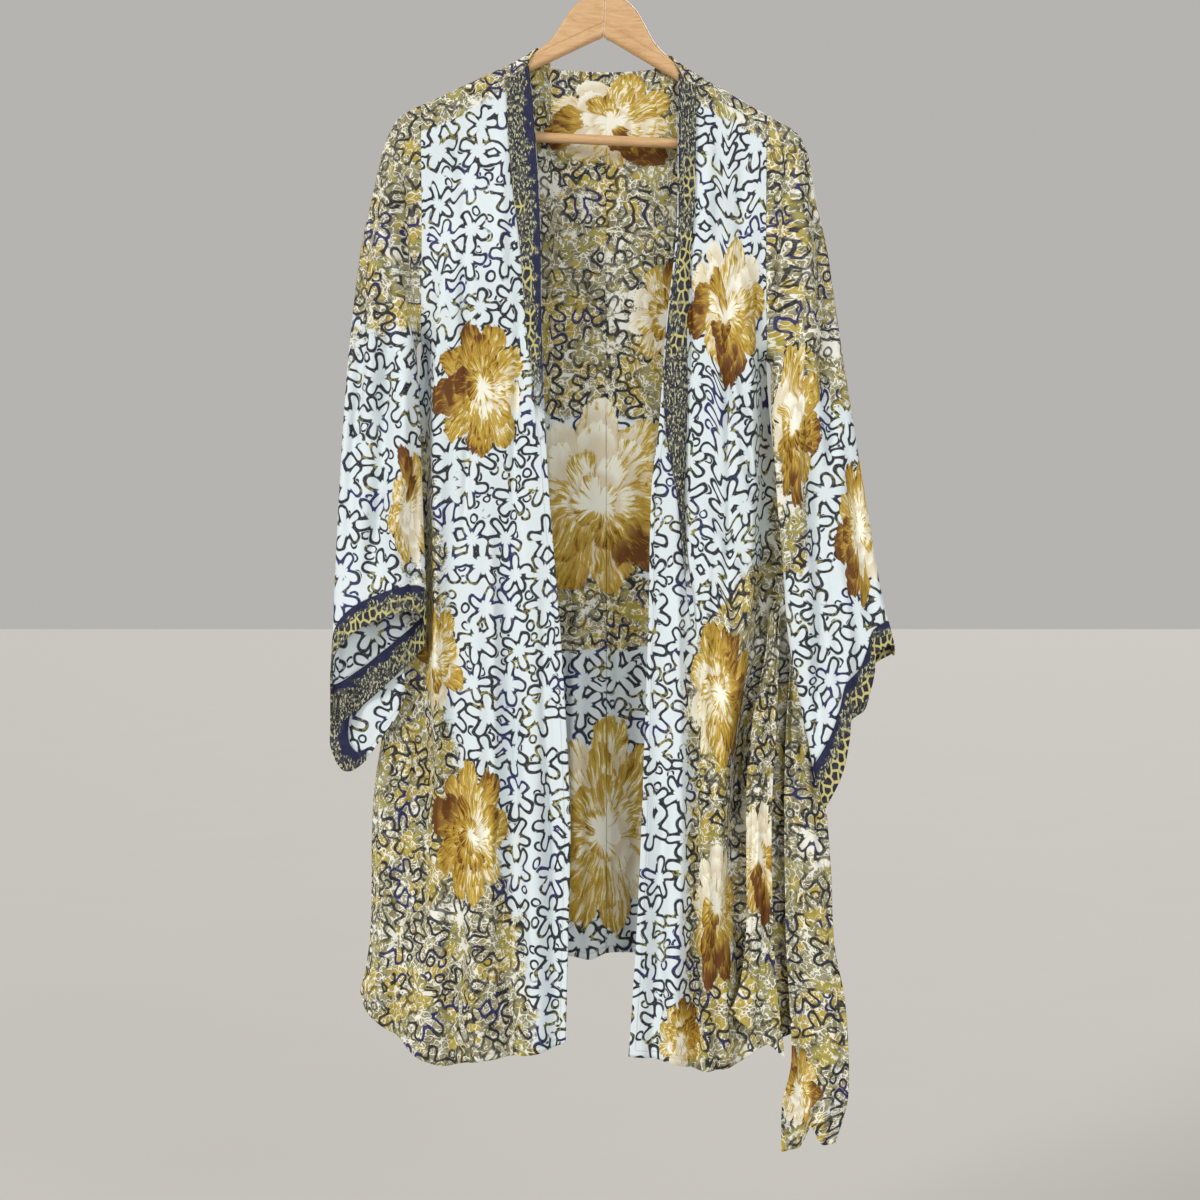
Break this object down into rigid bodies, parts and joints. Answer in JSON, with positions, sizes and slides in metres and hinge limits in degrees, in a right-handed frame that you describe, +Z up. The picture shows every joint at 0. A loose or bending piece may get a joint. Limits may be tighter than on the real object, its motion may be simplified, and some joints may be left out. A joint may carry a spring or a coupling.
{
  "type": "kimono robe on a hanger",
  "caption": "Short open kimono robe of printed crepe with wide sleeves, cuff and neck bands and its own sash, hung on a wooden hanger with a metal hook.",
  "frame": {"origin": "the inside top of the hanger's hook, where it bears on a rail", "axes": "+Z up, the robe's front faces -Y, +X to the right seen from the front"},
  "size_m": [0.6128, 0.1013, 1.3336],
  "materials": {
    "print_front": "thin crepe, cool white ground with dark navy wandering lines and ochre flowers, soft sheen",
    "print_back": "thin crepe, olive grey ground with large ochre and cream flowers, soft sheen",
    "print_sleeve": "thin crepe, olive above and white below with navy wandering lines, soft sheen",
    "band": "thin crepe border, navy and charcoal with a yellow scale net, soft sheen",
    "print_sash": "the robe's crepe, mostly the olive ground, crumpled",
    "hanger_wood": "light beech, satin lacquer",
    "hook_metal": "bright plated wire"
  },
  "bodies": {
    "root": {"front_left": "print_front", "front_right": "print_front", "back_left": "print_back", "back_right": "print_back", "sleeve_left": "print_sleeve", "sleeve_right": "print_sleeve", "cuff_band_left": "band", "cuff_band_right": "band", "neck_band_left": "band", "neck_band_right": "band", "sash_short_end": "print_sash", "sash_long_end": "print_sash", "belt_loop": "print_sash", "hanger_arm_left": "hanger_wood", "hanger_arm_right": "hanger_wood", "hanger_bar": "hanger_wood", "hanger_hook": "hook_metal"}
  },
  "joints": []
}
